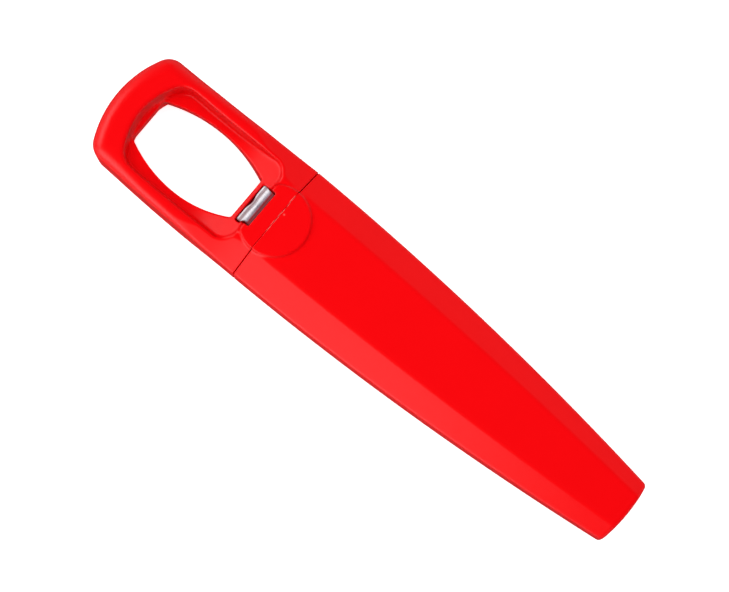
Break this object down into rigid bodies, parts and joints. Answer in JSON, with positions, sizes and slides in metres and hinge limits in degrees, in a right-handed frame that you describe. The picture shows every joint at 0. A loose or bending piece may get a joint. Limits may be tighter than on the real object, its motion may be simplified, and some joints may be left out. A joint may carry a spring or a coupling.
{
  "type": "travel corkscrew with bottle opener",
  "caption": "Slim pocket corkscrew: a plastic head with a through opening and steel cap lip, and a tapered faceted sheath that pulls off the worm and serves as a cross handle.",
  "frame": {"origin": "under the middle of the tool's box, on the surface that its back rests on", "axes": "+Y towards the opener head, -Y towards the sheath's tip, +Z out of the face with the round pad and the lip, +X across"},
  "size_m": [0.0348, 0.172, 0.0192],
  "materials": {
    "head_plastic": "satin-gloss moulded red",
    "lip_steel": "stamped and brushed across the bend",
    "worm_steel": "plated wire, ground point",
    "sheath_plastic": "satin-gloss moulded red"
  },
  "bodies": {
    "opener": {"opener_head": "head_plastic", "lip_insert": "lip_steel", "corkscrew_worm": "worm_steel"},
    "sheath": {"sheath": "sheath_plastic"}
  },
  "joints": [
    {"name": "sheath_pull", "type": "slide", "parent": "opener", "child": "sheath", "axis": [0, -1, 0], "range_m": [0, 0.085]}
  ]
}
